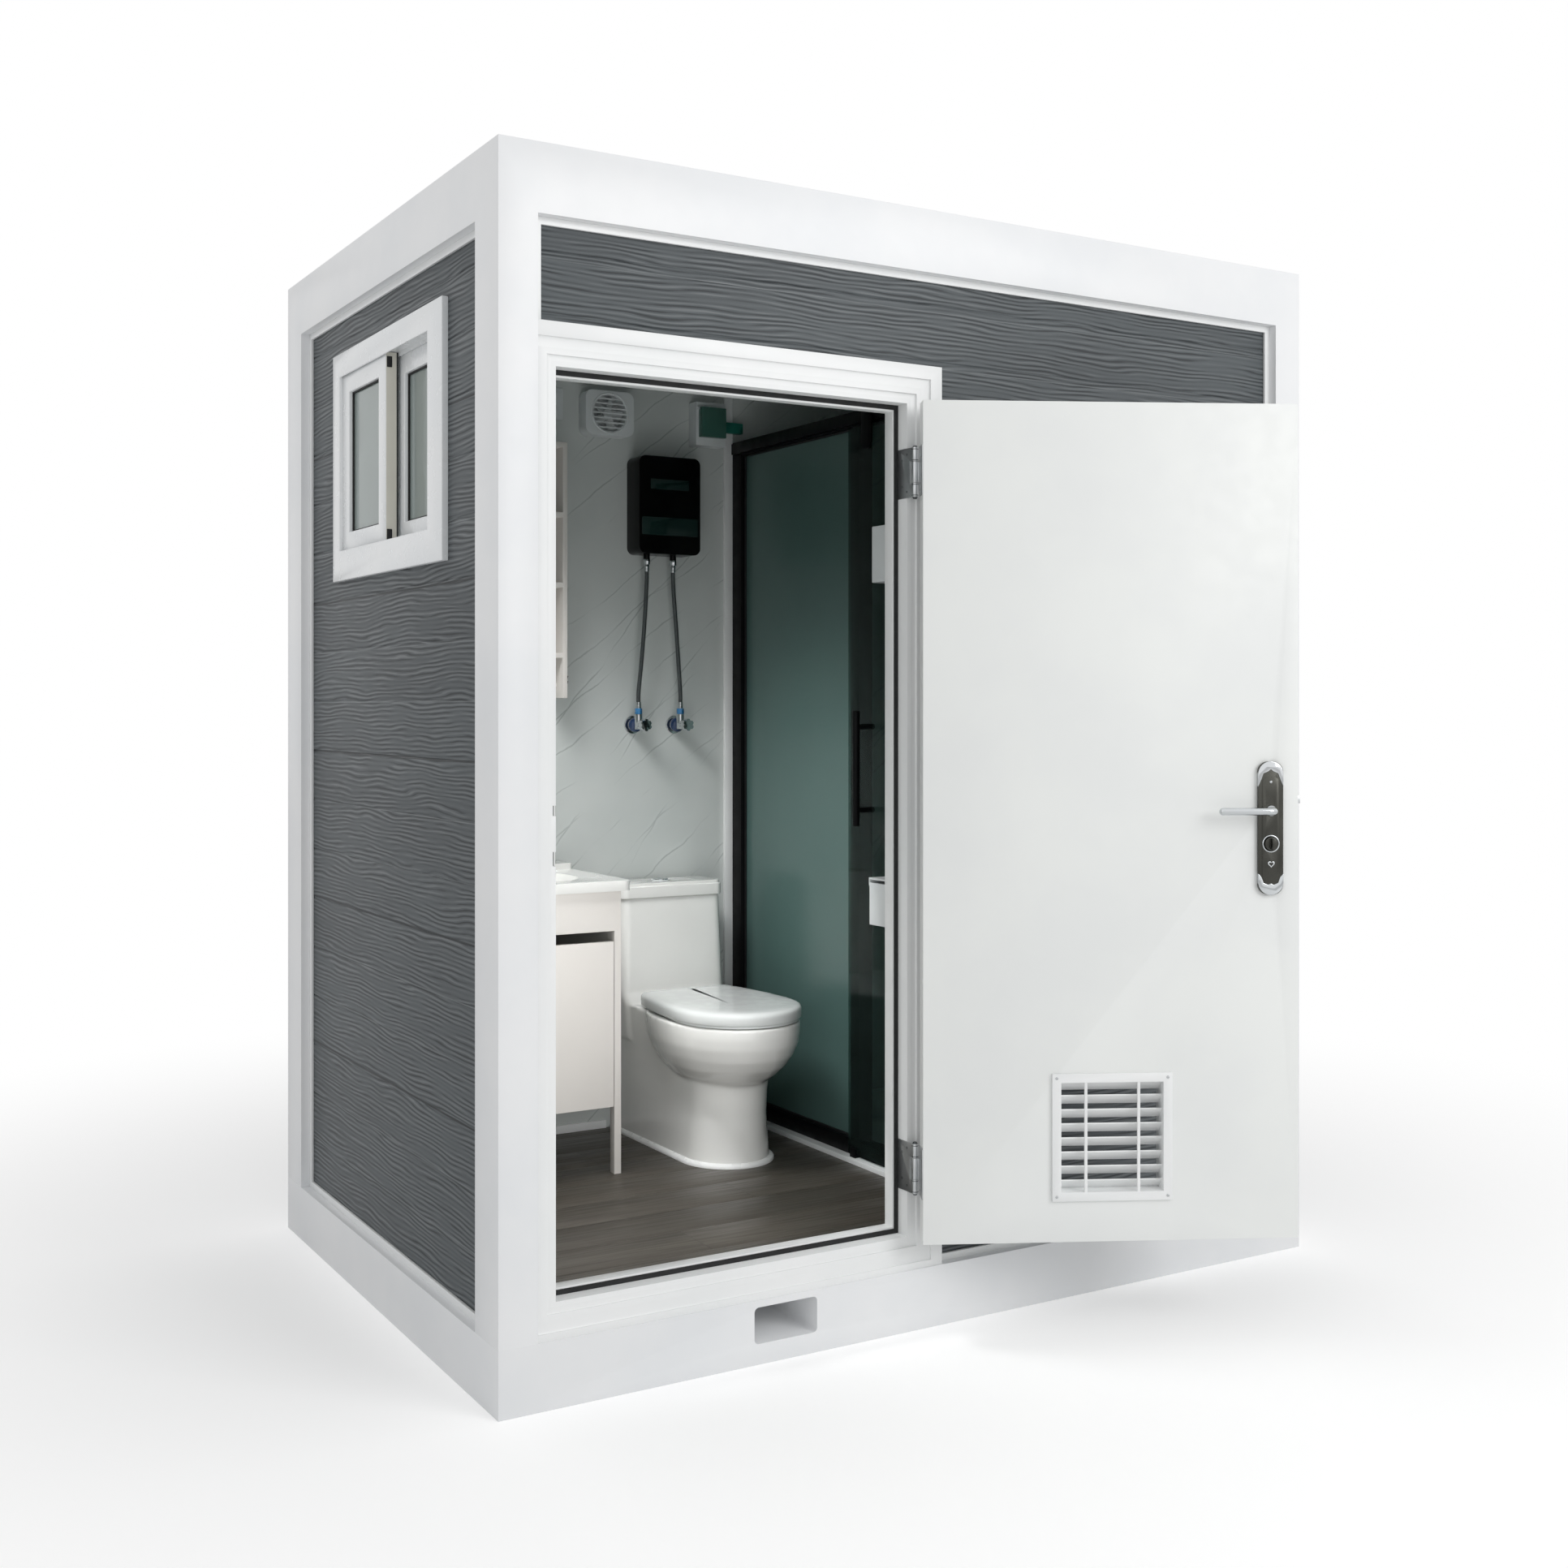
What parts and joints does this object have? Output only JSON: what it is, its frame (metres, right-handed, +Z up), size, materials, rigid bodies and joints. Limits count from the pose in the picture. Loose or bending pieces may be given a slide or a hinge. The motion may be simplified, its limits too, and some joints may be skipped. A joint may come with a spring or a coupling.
{
  "type": "portable toilet cabin",
  "caption": "Steel-framed portable washroom cabin with a hinged door, sliding window, toilet, vanity basin, water heater and glazed shower.",
  "frame": {"origin": "on the ground under the middle of the base frame, on the underside of the middle floor joist", "axes": "+Z up, +X to the right seen from the door side, +Y from the door side to the rear"},
  "size_m": [2.1, 1.8826, 2.4],
  "materials": {
    "white_paint": "satin",
    "slate_cladding": "wood-grain embossed, matte",
    "panel_skin": "printed marble, satin",
    "ceiling_board": "matte",
    "deck_board": "raw",
    "dark_plank": "sealed",
    "seal_rubber": "matte",
    "steel": "brushed",
    "chrome": "polished",
    "upvc": "semi gloss",
    "ceramic": "glazed",
    "fine_plastic": "satin",
    "white_board": "lacquered",
    "mirror_glass": "polished",
    "black_gloss": "gloss",
    "black_metal": "powder coated",
    "dark_plate": "dark nickel",
    "clear_glass": "polished",
    "frosted_glass": "frosted",
    "blue_plastic": "gloss",
    "green_plastic": "translucent",
    "door_skin": "satin",
    "steel_hose": "braided"
  },
  "bodies": {
    "cabin": {"base_frame": "white_paint", "upper_frame": "white_paint", "floor_deck": "deck_board", "floor_planks": "dark_plank", "roof_panel": "white_paint", "ceiling_panel": "ceiling_board", "wall_cladding": "slate_cladding", "wall_lining": "panel_skin", "trims": "white_paint", "door_frame": "white_paint", "door_seal": "seal_rubber", "frame_hinge_leaves": "steel", "window_frame": "upvc", "toilet_pan": "ceramic", "cistern_lid": "ceramic", "cistern_valves": "fine_plastic", "plumbing_pipes": "fine_plastic", "vanity_cabinet": "white_board", "basin_top": "ceramic", "tap_body": "chrome", "mirror_cabinet": "white_board", "heater_case": "black_gloss", "heater_hoses": "steel_hose", "angle_valves": "chrome", "fan_housing": "fine_plastic", "socket_plate": "fine_plastic", "breaker_box": "fine_plastic", "soap_dispenser": "fine_plastic", "paper_box": "fine_plastic", "shower_tray": "fine_plastic", "shower_frame": "black_metal", "fixed_glass": "frosted_glass", "shower_column": "black_metal"},
    "door": {"door_leaf": "door_skin", "door_louvre": "white_paint", "door_hinge_leaves": "steel", "lock_plates": "dark_plate"},
    "lever": {"lever_handle": "chrome"},
    "latch": {"latch_bolt": "steel"},
    "turn": {"thumb_turn": "chrome"},
    "bolt": {"dead_bolt": "steel"},
    "outer_window": {"outer_sash": "upvc", "outer_pane": "clear_glass"},
    "inner_window": {"inner_sash": "upvc", "inner_pane": "clear_glass"},
    "seat": {"toilet_seat": "ceramic"},
    "cover": {"toilet_cover": "ceramic"},
    "button_full": {"flush_button_full": "chrome"},
    "button_half": {"flush_button_half": "chrome"},
    "vanity_leaf": {"vanity_door": "white_board"},
    "mirror_leaf": {"mirror_door": "mirror_glass"},
    "tap_handle": {"tap_lever": "chrome"},
    "cold_handle": {"cold_valve_handle": "blue_plastic"},
    "hot_handle": {"hot_valve_handle": "blue_plastic"},
    "rotor": {"fan_rotor": "fine_plastic"},
    "shower_leaf": {"shower_door": "black_metal", "shower_door_glass": "frosted_glass"},
    "mixer_handle": {"mixer_lever": "black_metal"},
    "box_cover": {"breaker_cover": "green_plastic"},
    "box_lid": {"paper_box_lid": "fine_plastic"}
  },
  "joints": [
    {"name": "door_swing", "type": "hinge", "parent": "cabin", "child": "door", "pos_m": [-0.11, -0.728, 1.09], "axis": [0, 0, 1], "range_deg": [-153, 12]},
    {"name": "lever_turn", "type": "hinge", "parent": "door", "child": "lever", "pos_m": [0.54348, -1.09969, 1.112], "axis": [-0.454, -0.891, 0], "range_deg": [0, 45], "stiffness_Nm_per_rad": 1.6, "springref_deg": -34.38},
    {"name": "latch_slide", "type": "slide", "parent": "door", "child": "latch", "axis": [-0.891, 0.454, 0], "range_m": [0, 0.011]},
    {"name": "thumb_turn_turn", "type": "hinge", "parent": "door", "child": "turn", "pos_m": [0.54348, -1.09969, 1.042], "axis": [-0.454, -0.891, 0], "range_deg": [0, 90]},
    {"name": "dead_bolt_slide", "type": "slide", "parent": "door", "child": "bolt", "axis": [0.891, -0.454, 0], "range_m": [0, 0.02]},
    {"name": "outer_sash_slide", "type": "slide", "parent": "cabin", "child": "outer_window", "axis": [0, -1, 0], "range_m": [0, 0.29]},
    {"name": "inner_sash_slide", "type": "slide", "parent": "cabin", "child": "inner_window", "axis": [0, 1, 0], "range_m": [0, 0.29]},
    {"name": "seat_lift", "type": "hinge", "parent": "cabin", "child": "seat", "pos_m": [-0.068, 0.418, 0.56], "axis": [-1, 0, 0], "range_deg": [0, 92]},
    {"name": "cover_lift", "type": "hinge", "parent": "seat", "child": "cover", "pos_m": [-0.068, 0.418, 0.56], "axis": [1, 0, 0], "range_deg": [-95, 0]},
    {"name": "flush_full_press", "type": "slide", "parent": "cabin", "child": "button_full", "axis": [0, 0, -1], "range_m": [0, 0.006], "stiffness_N_per_m": 600, "springref_m": -0.015},
    {"name": "flush_half_press", "type": "slide", "parent": "cabin", "child": "button_half", "axis": [0, 0, -1], "range_m": [0, 0.006], "stiffness_N_per_m": 600, "springref_m": -0.015},
    {"name": "vanity_door_swing", "type": "hinge", "parent": "cabin", "child": "vanity_leaf", "pos_m": [-0.9407, 0.179, 0.543], "axis": [0, 0, -1], "range_deg": [0, 90]},
    {"name": "mirror_door_swing", "type": "hinge", "parent": "cabin", "child": "mirror_leaf", "pos_m": [-0.956, 0.529, 1.75], "axis": [0, 0, -1], "range_deg": [0, 88]},
    {"name": "tap_lever_turn", "type": "hinge", "parent": "cabin", "child": "tap_handle", "pos_m": [-0.4247, 0.573, 1.044], "axis": [0, 0, 1], "range_deg": [-40, 40]},
    {"name": "cold_valve_turn", "type": "hinge", "parent": "cabin", "child": "cold_handle", "pos_m": [0.0135, 0.56, 1.282], "axis": [0, 1, 0], "range_deg": [0, 90]},
    {"name": "hot_valve_turn", "type": "hinge", "parent": "cabin", "child": "hot_handle", "pos_m": [-0.1165, 0.56, 1.282], "axis": [0, 1, 0], "range_deg": [0, 90]},
    {"name": "fan_spin", "type": "hinge", "parent": "cabin", "child": "rotor", "pos_m": [-0.205, 0.608, 2.137], "axis": [0, 1, 0], "continuous": true},
    {"name": "shower_door_slide", "type": "slide", "parent": "cabin", "child": "shower_leaf", "axis": [0, 1, 0], "range_m": [0, 0.53]},
    {"name": "mixer_turn", "type": "hinge", "parent": "cabin", "child": "mixer_handle", "pos_m": [0.91, -0.12, 1.17], "axis": [0, 1, 0], "range_deg": [0, 60]},
    {"name": "breaker_cover_lift", "type": "hinge", "parent": "cabin", "child": "box_cover", "pos_m": [0.11, 0.5872, 2.1744], "axis": [-1, 0, 0], "range_deg": [0, 90]},
    {"name": "paper_lid_lift", "type": "hinge", "parent": "cabin", "child": "box_lid", "pos_m": [-0.01, -0.625, 0.945], "axis": [1, 0, 0], "range_deg": [0, 80]}
  ],
  "couplings": [
    {"joint": "latch_slide", "follows": "lever_turn", "m_per_rad": 0.014},
    {"joint": "thumb_turn_turn", "follows": "dead_bolt_slide", "rad_per_m": 78.54}
  ]
}
